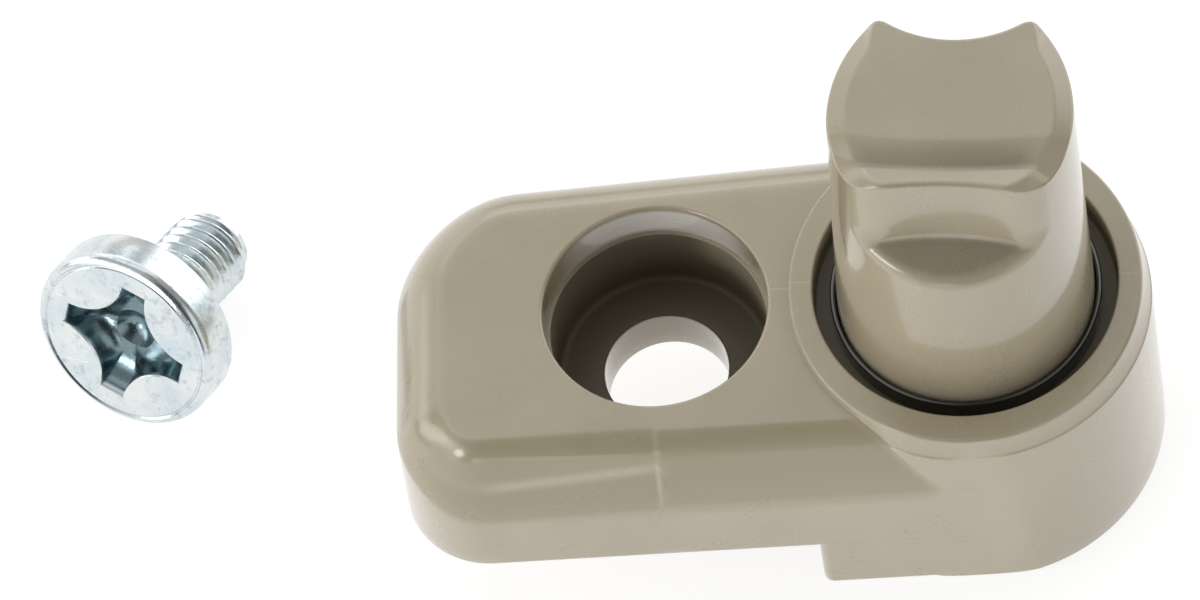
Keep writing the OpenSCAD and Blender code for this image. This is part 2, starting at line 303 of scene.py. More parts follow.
def mouldedPlastic(look, at):
    material, tree, shader, place = newMaterial("beigePlastic", {"IOR": 1.49, "Coat Roughness": 0.07})
    x, y, z = tree.split(place)
    fromBoss = x - bossX * mm
    swirl = tree.noise(place, look["swirl"], 3.0, 0.55, (1.0, 1.0, 0.5)).between(0.3, 0.7)
    fine = tree.noise(place, look["grain"], 2.0, 0.6)
    tint = tree.mix(swirl, (*look["deep"], 1), (*look["colour"], 1))

    # distances from the axes of the counterbore and of the boss
    bore = (x * x + y * y).math("SQRT")
    well = (fromBoss * fromBoss + y * y).math("SQRT")

    # painted shade: the front's rounding is a deeper tone than the flats
    front = (1.0 - rises(y, *at["frontY"])) * inside(x, *at["frontX"], 1.2) * rises(well, *at["frontBoss"])
    tone = 0.65 - 0.3 * rises(z, *at["toneZ"]) + 0.15 * rises(x, *at["toneX"])
    rounding = front * tone * rises(z, *at["frontLow"]) * (1.0 - rises(z, *at["frontTop"]))
    tint = tree.mix(rounding * look["rounding"], tint, (*look["edge"], 1))
    # painted highlight: a pale line along the rounding's ridge, left of the seam
    away = (z - at["ridgeClimb"] * x - at["ridgeZ"] * mm).math("ABSOLUTE")
    ridge = (1.0 - rises(away, 0.0, at["ridgeHalf"])) * (1.0 - rises(y, *at["ridgeY"]))
    ridge = ridge * inside(x, *at["ridgeX"], 1.2)
    tint = tree.mix(ridge * look["ridge"], tint, (*look["wearAndHighlight"], 1))
    # painted shade in the head's valley and on the ledge of its hollow face; across is measured with the
    # head's turn
    across = y + at["headTurn"] * fromBoss
    valley = inside(across, *at["valley"], 0.6) * rises(across, *at["valleyCrease"])
    valley = valley * rises(z, *at["valleyZ"])
    aside = (fromBoss - at["valleyMiddle"] * mm).math("ABSOLUTE")
    middle = 1.0 - rises(aside, *at["valleySide"])
    ledge = (1.0 - rises(well, *at["ledgeR"])) * (1.0 - rises(across, *at["ledgeY"]))
    ledge = ledge * inside(z, *at["ledgeZ"], 0.2)
    tint = tree.mix((valley * middle * 0.7 + ledge) * look["hollow"], tint, (*look["paintedShade"], 1))

    # painted shade in the counterbore, less of it at the right, and in the well round the plunger
    inBore = 1.0 - rises(bore, *at["boreR"])
    cavity = inBore * inside(z, *at["cavityZ"], 0.04)
    ditch = inside(well, *at["ditchR"], 0.08) * inside(z, *at["ditchZ"], 0.4)
    lessShade = rises(x, *at["lessShadeX"]) * rises(z, *at["lessShadeZ"]) * 0.45
    tint = tree.mix(cavity * (1.0 - lessShade) * look["cavity"], tint, (*look["paintedShade"], 1))
    tint = tree.mix(ditch * look["well"], tint, (*look["paintedShade"], 1))
    # painted shade on the band above the counterbore's step at the front, and painted light in streaks at the
    # rear
    streak = tree.noise(place, 900.0, 2.0, 0.6, (0.5, 0.5, 6.0))
    band = inBore * inside(z, *at["bandZ"], 0.04)
    rear = band * rises(y, *at["bandRear"])
    tint = tree.mix(band * (1.0 - rises(y, *at["bandFront"])) * 0.75, tint, (*look["paintedShade"], 1))
    tint = tree.mix((rear * (0.5 + streak)).math("MINIMUM", 1.0), tint, (*look["paintedRearLight"], 1))

    # the mould's parting line across the top, and the pale seam down the front's rounding
    beside = (y + at["partingClimb"] * x - at["partingY"] * mm).math("ABSOLUTE")
    parting = 1.0 - rises(beside, *at["partingEdge"])
    parting = parting * (inside(x, *at["partingPlate"], 0.1) + inside(x, *at["partingRing"], 0.1))
    parting = parting * rises(z, *at["partingZ"])
    seam = inside(x, *at["seamX"], 0.08) * (1.0 - rises(y, *at["seamY"])) * inside(z, *at["seamZ"], 0.6)
    pale = (parting * 0.5 + seam * look["mark"]).math("MINIMUM", 1.0)

    scratch = scratches(tree, place, look["scratch"])
    colour = tree.mix((scratch * 0.06 + pale).math("MINIMUM", 1.0), tint, (*look["wearAndHighlight"], 1))
    tree.put(shader, "Base Color", colour)
    rough = look["roughness"] + (swirl - 0.5) * 0.05 + (fine - 0.5) * 0.02
    tree.put(shader, "Roughness", rough + rear * 0.15 + (ditch + cavity) * 0.3)
    tree.put(shader, "Coat Weight", look["coat"] * (1.0 - ditch - cavity * 0.9))
    waves = tree.noise(place, look["grain"] * 0.22, 2.0)
    height = fine * 0.3 + waves * 0.8 - scratch * 0.08 - parting * 1.2
    tree.put(shader, "Normal", tree.bump(height, 0.1, 0.02))
    return material


def scratches(tree, place, scale):
    # thin marks: two stretched noises, each kept where it crosses its middle value
    total = None
    for turn, stretch in ((0.5, (0.12, 1.0, 1.0)), (2.1, (1.0, 0.16, 0.8))):
        turned = tree.add("ShaderNodeMapping", {}, {"Vector": place, "Rotation": (0.3, 0.0, turn)})
        line = tree.noise(turned, scale, 1.0, 0.5, stretch)
        mark = 1.0 - (line - 0.5).math("ABSOLUTE").between(0.0, 0.005)
        here = tree.noise(turned, scale * 0.8, 1.0).between(0.62, 0.70)
        total = mark * here if total is None else total + mark * here
    return total.math("MINIMUM", 1.0)


blackLook = {
    "dark": (0.008, 0.0075, 0.007), "light": (0.016, 0.015, 0.013), "roughness": 0.08, "grain": 2600.0,
}


def glossyBlack(look):
    material, tree, shader, place = newMaterial("blackPlastic", {
        "IOR": 1.7, "Coat Weight": 1.0, "Coat Roughness": 0.03})
    fine = tree.noise(place, look["grain"], 3.0)
    tree.put(shader, "Base Color", tree.mix(fine, (*look["dark"], 1), (*look["light"], 1)))
    tree.put(shader, "Roughness", look["roughness"] + fine * 0.06)
    tree.put(shader, "Normal", tree.bump(fine, 0.15, 0.02))
    return material


zincLook = {
    "cool": (0.58, 0.66, 0.70), "warm": (0.74, 0.77, 0.76), "blotch": (0.34, 0.42, 0.46),
    "recess": (0.13, 0.21, 0.235), "roughness": 0.15,
    "clouds": 420.0, "grain": 3800.0, "blotches": 1300.0, "scratch": 700.0,
}


def zincPlate(look):
    material, tree, shader, place = newMaterial("zincPlate", {"Metallic": 1.0})
    recess = tree.add("ShaderNodeAttribute", {"attribute_name": "recess"}, (), 2)
    cloud = tree.noise(place, look["clouds"], 4.0, 0.6)
    fine = tree.noise(place, look["grain"], 3.0, 0.65)
    blotch = tree.noise(place, look["blotches"], 6.0, 0.75).between(0.52, 0.66)
    scratch = scratches(tree, place, look["scratch"])
    colour = tree.mix(cloud.between(0.3, 0.7), (*look["cool"], 1), (*look["warm"], 1))
    marks = (blotch * 0.6 + scratch * 0.75).math("MINIMUM", 1.0)
    colour = tree.mix(marks, colour, (*look["blotch"], 1))
    tree.put(shader, "Base Color", tree.mix(recess * 0.9, colour, (*look["recess"], 1)))
    tree.put(shader, "Roughness", look["roughness"] + cloud * 0.12 + blotch * 0.12 + scratch * 0.15)
    tree.put(shader, "Normal", tree.bump(cloud * 2.2 + fine * 0.5 - scratch * 1.2, 0.4, 0.03))
    return material


wireLook = {"dark": (0.42, 0.42, 0.42), "light": (0.60, 0.60, 0.59), "roughness": 0.25, "grain": 3000.0}


def drawnWire(look):
    material, tree, shader, place = newMaterial("springSteel", {"Metallic": 1.0})
    fine = tree.noise(place, look["grain"], 3.0, 0.6)
    tree.put(shader, "Base Color", tree.mix(fine, (*look["dark"], 1), (*look["light"], 1)))
    tree.put(shader, "Roughness", look["roughness"] + fine * 0.2)
    return material


beige = mouldedPlastic(plasticLook, plasticPlaces)
black = glossyBlack(blackLook)
zinc = zincPlate(zincLook)
steel = drawnWire(wireLook)
print("materials made")


housingShape = {
    "left": 14.4, "front": 9.7, "rear": 8.8, "cornerFront": 4.7, "cornerRear": 7.0, "rearTaper": 0.045,
    "endDraft": 0.036, "edgeR": 0.35, "footEdgeR": 0.4, "footCorner": 0.5, "seamX": -0.1, "seamWidth": 0.35,
    "crease": 8.8, "creaseR": 9.78, "ringSide": 9.33, "ringFront": 9.66, "draft": 0.0235, "footLeft": 8.75,
    "wellR": 8.07, "wellFloor": 8.85, "lipR": 7.2, "boreR": 7.75, "shoulder": 8.05,
    "holeR": 3.35, "sinkFloor": 3.1, "sinkR": 5.8, "sinkStep": 7.6, "mouthR": 6.0,
}


def plateOutline(s):
    # base outline from the boss along the front, round the free end and back along the rear, its inward
    # normals, and two weights: how much of the front's rounding it has, and how much of its left part
    x = np.concatenate([np.linspace(bossX, 0.6, 24), np.linspace(0.5, -0.7, 13),
                        np.linspace(-0.8, -s["left"] + s["cornerFront"], 18)])
    parts = [(x, np.full(len(x), -s["front"]), np.full(len(x), 90.0))]
    a = np.linspace(270, 180, 25)[1:]
    parts.append((-s["left"] + s["cornerFront"] + s["cornerFront"] * np.cos(np.radians(a)),
                  -s["front"] + s["cornerFront"] + s["cornerFront"] * np.sin(np.radians(a)), a - 180))
    y = np.linspace(-s["front"] + s["cornerFront"], s["rear"] - s["cornerRear"], 8)[1:]
    parts.append((np.full(len(y), -s["left"]), y, np.zeros(len(y))))
    a = np.linspace(180, 90, 27)[1:]
    parts.append((-s["left"] + s["cornerRear"] + s["cornerRear"] * np.cos(np.radians(a)),
                  s["rear"] - s["cornerRear"] + s["cornerRear"] * np.sin(np.radians(a)), a - 180))
    x = np.linspace(-s["left"] + s["cornerRear"], bossX, 30)[1:]
    parts.append((x, s["rear"] + s["rearTaper"] * (x + s["left"] - s["cornerRear"]), np.full(len(x), -90.0)))
    px, py, turn = (np.concatenate(v) for v in zip(*parts))
    inward = np.stack([np.cos(np.radians(turn)), np.sin(np.radians(turn))], -1)
    frontness = smooth(turn, 8, 82)
    leftness = smooth(-px, -s["seamX"] - s["seamWidth"] / 2, -s["seamX"] + s["seamWidth"] / 2)
    return np.stack([px, py], -1), inward, frontness, leftness


def rolled(rows, inset, drop, along, slope):
    # an edge profile as (inset, drop) from the top's edge to the side: its slope in degrees, given along it,
    # is smoothed and summed up
    steps = 800
    path = np.linspace(0, along[-1], steps)
    angle = np.radians(np.interp(path, along, slope))
    angle = np.convolve(np.pad(angle, 12, "edge"), np.ones(25) / 25, "valid")
    run, fall = np.cumsum(np.cos(angle)), np.cumsum(np.sin(angle))
    pick = (np.interp(np.linspace(0, 1, rows), [0, 0.62, 1], [0, 0.6, 1]) * (steps - 1)).astype(int)
    profile = np.stack([inset * (1 - run / run[-1]), drop * fall / fall[-1]], -1)[pick]
    profile[0, 1] = 0
    return profile


def roundings(rows):
    # the front's rounding beside the seam, at its left end and right of the seam, then the rounding of the
    # free end and the quarter circle of the rear
    seam = rolled(rows, 2.6, 5.2, [0, 0.3, 0.9, 1.6, 2.3, 2.9, 3.2, 3.7, 4.3, 5.2, 6.2, 6.5, 6.9],
                  [0, 12, 30, 46, 66, 77, 76, 66, 69, 73, 77, 87, 90])
    end = rolled(rows, 2.5, 5.45, [0, 0.3, 0.9, 1.6, 2.7, 3.3, 3.6, 4.1, 4.6, 5.2, 5.95, 6.25, 6.6],
                 [0, 14, 40, 54, 66, 78, 77, 66, 69, 73, 77, 87, 90])
    plain = rolled(rows, 2.5, 5.0, [0, 0.35, 0.9, 1.7, 2.7, 3.8, 4.9, 5.75, 6.0, 6.4],
                   [0, 12, 34, 54, 66, 72, 76, 79, 88, 90])
    rearR = 3.1
    side = rolled(rows, rearR, 3.3, [0, 0.4, 1.5, 2.8, 4.1, 4.35, 4.6], [0, 10, 32, 55, 69, 86, 90])
    quarter = np.pi / 2 * np.linspace(0, 1, rows)
    circle = np.stack([rearR * (1 - np.sin(quarter)), rearR * (1 - np.cos(quarter))], -1)
    return seam, end, plain, side, circle


def edgeInset(radius, heights):
    # how far a rounded lower edge stands back at each height above its bottom: r - sqrt(r^2 - (r - h)^2)
    rise = np.clip(radius - heights, 0, None)
    return radius - np.sqrt(np.clip(radius ** 2 - rise ** 2, 0, None))


def buildPlate(s):
    # rows of the outline, moved inwards by each profile's inset: its top, the side, and the lower edge
    base, inward, frontness, leftness = plateOutline(s)
    seam, end, plain, side, circle = (profile[:, None] for profile in roundings(44))
    atFront, atLeft = frontness[None, :, None], leftness[None, :, None]
    nearEnd = smooth(-base[:, 0], 0.3, 9.0)[None, :, None]
    atEnd = smooth(inward[:, 0], 0.1, 0.85)[None, :, None]
    front = (seam * (1 - nearEnd) + end * nearEnd) * atLeft + plain * (1 - atLeft)
    edge = (circle * (1 - atEnd) + side * atEnd) * (1 - atFront) + atFront * front
    inset, drop = edge[..., 0], edge[..., 1]
    support = inset[:1] + 0.35                                      # a flat rim keeps the top's shading even
    lower = np.array([1.2, s["edgeR"], 0.22, 0.1, 0.03, 0.0])
    lowerInset = edgeInset(s["edgeR"], lower)
    columns = len(base)
    inset = np.concatenate([support, inset, np.repeat(lowerInset[:, None], columns, 1),
                            np.full((1, columns), 0.8)])
    height = np.concatenate([np.full((1, columns), plateTop), plateTop - drop,
                             np.repeat(lower[:, None], columns, 1), np.zeros((1, columns))])
    inset = inset + s["endDraft"] * height * np.clip(inward[:, 0], 0, 1)[None]
    points = np.concatenate([base[None] + inward[None] * inset[..., None], height[..., None]], -1)
    return makePiece("lockPlate", points, gridQuads(len(points), columns), endCaps(len(points), columns))


def buildBoss(s):
    # a drafted column with a crease, a drawn-in side and a small rounding round its top
    profile = np.concatenate([
        arcPoints((s["creaseR"] - 0.4, footBottom + 0.4), 0.4, -90, 0, 6),
        np.linspace([s["creaseR"], footBottom + 1.5], [s["creaseR"], s["crease"] - 0.2], 34),
        arcPoints((s["creaseR"] - 0.06, s["crease"] - 0.06), 0.06, 0, 50, 4),
        [[s["creaseR"] - 0.06, s["crease"] + 0.05], [s["creaseR"] - 0.10, s["crease"] + 0.16]],
        [[s["ringSide"] + 0.03, ringTop - 0.28]],
        arcPoints((s["ringSide"] - 0.16, ringTop - 0.18), 0.18, 10, 90, 8),
        [[s["ringSide"] - 0.5, ringTop]]])

    def bend(angle, radii, heights):
        # the ring is wider at front and rear by sin^2 of the angle, and the column widens downwards
        ring = smooth(heights, s["crease"] + 0.05, ringTop - 0.3)
        draft = s["draft"] * np.clip(s["crease"] - heights, 0, None)
        radii = radii + draft + (s["ringFront"] - s["ringSide"]) * np.sin(angle) ** 2 * ring
        # under the plate it stays inside the foot's straight left side
        leftSide = (s["footLeft"] - 0.05) / np.maximum(-np.cos(angle), 1e-3)
        radii = np.where(heights < 0.6, np.minimum(radii, leftSide), radii)
        # the flat front cuts it off, with a soft run into it on the right: a rounded minimum of two radii
        limit = (s["front"] - 0.012) / np.maximum(-np.sin(angle), 1e-3)
        soft = np.where(np.cos(angle) > 0, 0.12, 0.004)
        share = np.clip(0.5 + 0.5 * (radii - limit) / soft, 0, 1)
        return radii + (limit - radii) * share - soft * share * (1 - share)
    return revolve("boss", profile, 320, (bossX, 0.0), bend)


def buildFoot(s):
    # straight at the front, left and rear, with small corners; the turned boss closes it on the right
    left, right, corner = bossX - s["footLeft"], bossX, s["footCorner"]
    front, rear = s["front"], s["rear"] + s["rearTaper"] * (left + s["left"] - s["cornerRear"])
    outline = np.concatenate([
        [[right, -front]], arcPoints((left + corner, -front + corner), corner, 270, 180, 8),
        arcPoints((left + corner, rear - corner), corner, 180, 90, 8), [[right, rear]]])
    inward = np.sign(outline.mean(0) - outline)
    inward[[0, -1], 0] = 0
    lower = np.array([1.2, s["footEdgeR"], 0.25, 0.12, 0.04, 0.0])
    # above the plate's underside it bends back into the plate
    height = np.concatenate([np.array([0.9, 0.6, 0.32]) - footBottom, lower, [0.0]])
    inset = np.concatenate([[0.6, 0.3, 0.0], edgeInset(s["footEdgeR"], lower), [0.8]])
    points = np.concatenate([outline[None] + inward[None] * inset[:, None, None],
                             np.repeat((footBottom + height)[:, None, None], len(outline), 1)], -1)
    rows, columns = len(height), len(outline)
    return makePiece("foot", points, gridQuads(rows, columns), endCaps(rows, columns))


def buildCounterbore(s):
    # from under the plate up: hole with broken edges, floor, lower wall, step, wide band and rounded mouth
    hole, floor, low, step, mouth = s["holeR"], s["sinkFloor"], s["sinkR"], s["sinkStep"], s["mouthR"]
    profile = np.concatenate([
        [[hole + 0.25, -0.5], [hole + 0.25, -0.02]],
        arcPoints((hole + 0.25, 0.25), 0.25, -90, -180, 5),
        [[hole, 1.2], [hole, floor - 0.25]],
        arcPoints((hole + 0.15, floor - 0.15), 0.15, 180, 90, 5),
        [[hole + 0.85, floor], [low - 0.5, floor]],
        arcPoints((low - 0.35, floor + 0.35), 0.35, -90, 0, 6),
        [[low, 5.0], [low, step - 0.1]],
        arcPoints((low + 0.06, step - 0.06), 0.06, 180, 90, 3),
        [[mouth - 0.03, step], [mouth, step + 0.04], [mouth, 8.6], [mouth, plateTop - 0.28]],
        arcPoints((mouth + 0.22, plateTop - 0.22), 0.22, 180, 90, 7),
        [[mouth + 0.22, ringTop]]])
    return revolve("cutHole", profile, 160)


def buildWell(s):
    # from below up: the bore, the shoulder that the bush's lip comes through, the well's floor and its wall
    bore, lip, well, floor = s["boreR"], s["lipR"], s["wellR"], s["wellFloor"]
    profile = np.concatenate([
        [[bore, footBottom - 1], [bore, s["shoulder"]], [lip, s["shoulder"]]],
        [[lip, floor], [well - 0.2, floor]],
        arcPoints((well - 0.17, floor + 0.17), 0.17, -90, 0, 5)[1:],
        [[well, 9.6], [well, ringTop - 0.13]],
        arcPoints((well + 0.13, ringTop - 0.13), 0.13, 180, 90, 5),
        [[well + 0.13, ringTop + 0.5]]])
    return revolve("cutWell", profile, 200, (bossX, 0.0))


plate = buildPlate(housingShape)
combine(plate, [("UNION", buildFoot(housingShape)), ("UNION", buildBoss(housingShape)),
                ("DIFFERENCE", buildCounterbore(housingShape)), ("DIFFERENCE", buildWell(housingShape))])
finishShading(plate, 26)
dress(plate, beige, "lock_body", "beige_plastic", "housing")
print("housing made,", len(plate.data.polygons), "faces")


plungerShape = {
    "turn": -5.0, "r": 6.8, "draft": 0.032, "top": 17.1, "lean": 0.009, "rearWide": 0.011,
    "notchR": 6.4, "notchV": 4.42, "notchX": 0.1, "notchRise": 3.0,
    "faceR": 17.0, "faceV": 4.15, "faceH": 5.3, "slope": 27.0, "cornerR": 0.3,
    "creaseV": 2.84, "rollWidth": 1.6, "rollDrop": 0.6, "lipRise": 0.32, "bevelWide": 0.95, "bevelLow": 0.42,
    "flangeR": 7.5, "flangeTop": -4.6, "flangeT": 1.6, "lugR": 8.1, "lugW": 1.8, "boreR": 5.0, "boreTop": 1.4,
}


def roundMax(a, b, r):
    # where both hold: the corner between two distances, rounded by r
    u, v = np.maximum(r + a, 0), np.maximum(r + b, 0)
    return np.minimum(-r, np.maximum(a, b)) + np.hypot(u, v)


def roundMin(a, b, r):
    # where either holds: the inner corner between two distances, filled by r
    u, v = np.maximum(r - a, 0), np.maximum(r - b, 0)
    return np.maximum(r, np.minimum(a, b)) - np.hypot(u, v)


def headDistance(s, u, v, z):
    # distance-like value of the plunger above its flange, negative inside, from u across the head, v towards
    # the notch and z above the ring: a leaning cone, cut by the notch's cylinder over its sloping shelf, by
    # the hollow face's cylinder over its sloping ledge, and by the rolled top
    slope = math.radians(s["slope"])
    height = np.clip(z, 0, None)
    rear = np.where(v > 0, v / (1 + s["rearWide"] * height), v)
    shaft = np.hypot(u - s["lean"] * height, rear) - (s["r"] - s["draft"] * z)
    notch = s["notchR"] - np.hypot(u - s["notchX"], v - s["notchV"] - s["notchR"])
    shelf = (z - s["notchRise"] + np.tan(slope) * (v - s["notchV"])) * math.cos(slope)
    face = s["faceR"] - np.hypot(u, v + s["faceV"] + s["faceR"])
    ledge = (z - s["top"] + s["faceH"] + np.tan(slope) * (-v - s["faceV"])) * math.cos(slope)
    back = roundMin(notch, shelf, s["cornerR"])
    front = roundMin(face, ledge, s["cornerR"])
    # the edges of the notch and of the hollow face are rounder higher up
    body = roundMax(shaft, back, 0.25 + 0.33 * smooth(z, 3.2, 4.4))
    body = roundMax(body, front, 0.42 + 0.75 * smooth(z, 11.2, 12.6))
    # the top rolls off forwards to a crease, in front of which the lip rises towards the hollow face
    middle = 1 - np.clip(np.abs(u) / 4.4, 0, 1) ** 2
    crease = -s["creaseV"] - 0.22 * middle
    rollOff = s["rollDrop"] * (np.clip(crease + s["rollWidth"] - v, 0, 3.2) / s["rollWidth"]) ** 1.35
    lip = s["rollDrop"] - 0.02 - s["lipRise"] * (crease - v)
    top = roundMin(z - s["top"] + rollOff, z - s["top"] + lip, 0.16)
    atFace = smooth(-v, 3.0, 3.9) * (1 - smooth(np.abs(u), 3.0, 4.4))
    atBack = smooth(back - shaft, -1.2, 0.0)
    # the top's edge is a wide low bevel at the sides, and a small rounding at the back and over the face
    wide = s["bevelWide"] - 0.67 * atBack - 0.62 * atFace
    low = s["bevelLow"] - 0.12 * atBack - 0.09 * atFace
    across, above = body / wide, top / low
    bevel = roundMax(roundMax(across, above, 0.2), (across + above + 1) * 0.71, 0.12)
    atSide = np.clip(1 - atBack - atFace, 0, 1)
    return (bevel * atSide + roundMax(across, above, 1.0) * (1 - atSide)) * np.minimum(wide, low)


def castRays(distance, starts, ways, far):
    # first crossing from inside to outside along each ray, by halving
    halvings = 34
    low, high = np.zeros(starts.shape[:-1]), np.full(starts.shape[:-1], far)
    for _ in range(halvings):
        mid = (low + high) / 2
        p = starts + ways * mid[..., None]
        within = distance(p[..., 0], p[..., 1], p[..., 2]) < 0
        low, high = np.where(within, mid, low), np.where(within, high, mid)
    return starts + ways * ((low + high) / 2)[..., None]


def slopeOf(distance, p, step=0.004):
    # outward normals from the distance's differences
    axes = np.eye(3) * step
    parts = [distance(*np.moveaxis(p + a, -1, 0)) - distance(*np.moveaxis(p - a, -1, 0)) for a in axes]
    n = np.stack(parts, -1)
    return n / np.maximum(np.linalg.norm(n, axis=-1, keepdims=True), 1e-9)


def buildPlunger(s):
    # the skin is where rays from the axis leave the head's form: level rays up to the heart, then a fan
    columns = 440
    angle = np.linspace(0, 2 * np.pi, columns, endpoint=False)
    heart = 13.1
    levels = np.concatenate([np.linspace(-4.0, 0.8, 9), np.linspace(1.0, 3.7, 34), np.linspace(4.3, 9.8, 10),
                             np.linspace(10.0, 12.4, 34), np.linspace(12.7, heart, 3)])
    fan = np.radians(np.concatenate([np.linspace(2, 22, 9), np.linspace(22.5, 52, 64),
                                     np.linspace(53.2, 88.6, 28)]))
    heights = np.concatenate([levels, np.full(len(fan), heart)])
    tilts = np.concatenate([np.zeros_like(levels), fan])
    starts = np.zeros((len(heights), columns, 3))
    starts[..., 2] = heights[:, None]
    ways = np.stack([np.cos(tilts)[:, None] * np.cos(angle), np.cos(tilts)[:, None] * np.sin(angle),
                     np.repeat(np.sin(tilts)[:, None], columns, 1)], -1)

    def distance(u, v, z):
        return headDistance(s, u, v, z)
    skin = castRays(distance, starts, ways, 12.0)
    normals = slopeOf(distance, skin)
    # under the skin: flange with its lug, then the spring's bore up to its roof
    lug = np.abs(np.sin(angle)) * s["flangeR"] < s["lugW"] / 2
    flange = np.where(lug & (np.cos(angle) > 0), s["lugR"] / np.maximum(np.cos(angle), 0.1), s["flangeR"])
    skirt = s["r"] + 0.05
    bottom = s["flangeTop"] - s["flangeT"]
    bore = np.full(columns, s["boreR"])
    rings = [(bore * 0.1, s["boreTop"]), (bore, s["boreTop"]), (bore, bottom), (flange - 0.1, bottom),
             (flange, bottom + 0.1), (flange, s["flangeTop"] - 0.1), (flange - 0.1, s["flangeTop"]),
             (np.full(columns, skirt), s["flangeTop"])]
    under = np.stack([np.stack([r * np.cos(angle), r * np.sin(angle), np.full(columns, z)], -1)
                      for r, z in rings])
    points = np.concatenate([under, skin])
    normals = np.concatenate([np.zeros_like(under), normals])
    turn = math.radians(s["turn"])
    spin = np.array([[math.cos(turn), math.sin(turn), 0], [-math.sin(turn), math.cos(turn), 0], [0, 0, 1]])
    points = points @ spin + [bossX, 0, ringTop]
    rows = len(points)
    return makePiece("camPlunger", points, gridQuads(rows, columns), endCaps(rows, columns), normals @ spin)


plunger = buildPlunger(plungerShape)
dress(plunger, beige, "plunger", "beige_plastic", "cam_plunger")
print("plunger made,", len(plunger.data.polygons), "faces")


bushShape = {
    "inner": 6.9, "lipTop": 10.0, "bottom": 6.05,
    "lipR": housingShape["lipR"], "bodyR": housingShape["boreR"], "shoulder": housingShape["shoulder"],
}
capShape = {"r": housingShape["boreR"], "top": -2.2, "inset": 0.2, "pinR": 3.4, "pinH": 1.5}
springShape = {"r": 4.2, "wire": 0.8, "low": -2.15, "high": 11.95, "turns": 8.0}


def buildBush(s):
    # a sleeve under the shoulder, and a thin lip with a round top that hugs the plunger
    lip = (s["lipR"] - s["inner"]) / 2
    profile = np.concatenate([
        [[s["inner"], s["lipTop"] - 0.3], [s["inner"], s["bottom"] + 0.1], [s["inner"] + 0.1, s["bottom"]]],
        [[s["bodyR"] - 0.1, s["bottom"]], [s["bodyR"], s["bottom"] + 0.1], [s["bodyR"], s["shoulder"]]],
        [[s["lipR"], s["shoulder"]]],
        arcPoints((s["inner"] + lip, s["lipTop"] - lip), lip, 0, 160, 18)])
    return revolve("guideBush", profile, 200, (bossX, 0.0), closed=True)


def buildCap(s):
    # a disc with a shallow groove below and the spring's pin above
    low = footBottom + s["inset"]
    pinTop = s["top"] + s["pinH"]
    profile = np.concatenate([
        [[0.4, low], [s["r"] - 2.2, low], [s["r"] - 2.0, low + 0.15], [s["r"] - 1.2, low + 0.15]],
        [[s["r"] - 1.0, low]],
        arcPoints((s["r"] - 0.2, low + 0.2), 0.2, -90, 0, 4), [[s["r"], s["top"]], [s["pinR"], s["top"]]],
        arcPoints((s["pinR"] - 0.3, pinTop - 0.3), 0.3, 0, 90, 4), [[0.4, pinTop]]])
    return revolve("footCap", profile, 128, (bossX, 0.0))


def buildSpring(s):
    # a tube carried along a helix whose first and last turns are closed
    steps, sides = 44, 14
    t = np.arange(int(s["turns"] * steps) + 1) / steps
    low, high, last = s["low"] + s["wire"] / 2, s["high"] - s["wire"] / 2, s["turns"] - 1
    rise = np.interp(t, [0, 1, last, s["turns"]], [low, low + s["wire"], high - s["wire"], high])
    around = np.linspace(0, 2 * np.pi, sides, endpoint=False)
    r = s["r"] + s["wire"] / 2 * np.cos(around)[None]
    a = (2 * np.pi * t)[:, None]
    z = rise[:, None] + s["wire"] / 2 * np.sin(around)[None]
    points = np.stack([bossX + r * np.cos(a), r * np.sin(a), z], -1)
    caps = [ring[::-1] for ring in endCaps(len(t), sides)]
    return makePiece("plungerSpring", points, gridQuads(len(t), sides)[:, ::-1], caps)


bush = buildBush(bushShape)
finishShading(bush, 35)
dress(bush, black, "lock_body", "dark_plastic", "guide_bush")
cap = buildCap(capShape)
finishShading(cap, 35)
dress(cap, beige, "lock_body", "beige_plastic", "foot_cap")
spring = buildSpring(springShape)
dress(spring, steel, "lock_body", "spring_steel", "plunger_spring")
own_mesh(spring)
print("bush, cap and spring made")


screwShape = {
    "headR": 5.5, "headH": 2.6, "faceR": 4.95, "shankR": 2.45, "rootR": 2.02, "pitch": 0.8, "length": 7.6,
    "span": 7.3, "wing": 1.42, "recessTurn": 8.0,
    "x": -28.87, "y": 6.6, "turn": 62.0, "tip": 0.4,
}


def buildHead(s):
    # from the thread's root up: fillet, underside, rounded rim, side, then the face with a groove round it
    top = -s["headH"]
    edge = s["headR"] - s["faceR"]
    profile = np.concatenate([
        [[s["rootR"], 0.35]], arcPoints((s["rootR"] + 0.25, 0.25), 0.25, 180, 270, 4)[1:],
        [[s["headR"] - 0.25, 0.0]], arcPoints((s["headR"] - 0.2, -0.2), 0.2, 90, 0, 4),
        [[s["headR"], -1.1], [s["headR"], top + 0.62]],
        arcPoints((s["headR"] - edge, top + edge), edge, 0, -80, 9),
        [[s["faceR"] - 0.01, top + 0.09], [s["faceR"] - 0.08, top + 0.07]],
        [[s["faceR"] - 0.14, top], [s["faceR"] - 0.4, top]]])
    return revolve("fixingScrew", profile[::-1], 128)


def buildThread(s):
    # radius falls and rises with the height, shifted by one pitch for each turn, and tapers off at both ends
    columns, rows = 56, 210
    angle = np.linspace(0, 2 * np.pi, columns, endpoint=False)
    z = np.linspace(-0.4, s["length"], rows)[:, None]
    phase = (z / s["pitch"] - angle[None] / (2 * np.pi)) % 1.0
    tooth = np.clip((0.5 - np.abs(phase - 0.5)) * 2.6 - 0.15, 0, 1)
    tooth = tooth * tooth * (3 - 2 * tooth) * 0.4 + tooth * 0.6
    inRange = smooth(z, 0.5, 1.0) * (1 - smooth(z, s["length"] - 0.7, s["length"] - 0.25))
    r = s["rootR"] + (s["shankR"] - s["rootR"]) * tooth * inRange
    r = np.minimum(r, s["shankR"] - 0.9 * np.clip(z - s["length"] + s["tip"], 0, None))
    points = np.stack([r * np.cos(angle), r * np.sin(angle), np.repeat(z, columns, 1)], -1)
    return makePiece("thread", points, gridQuads(rows, columns), endCaps(rows, columns))


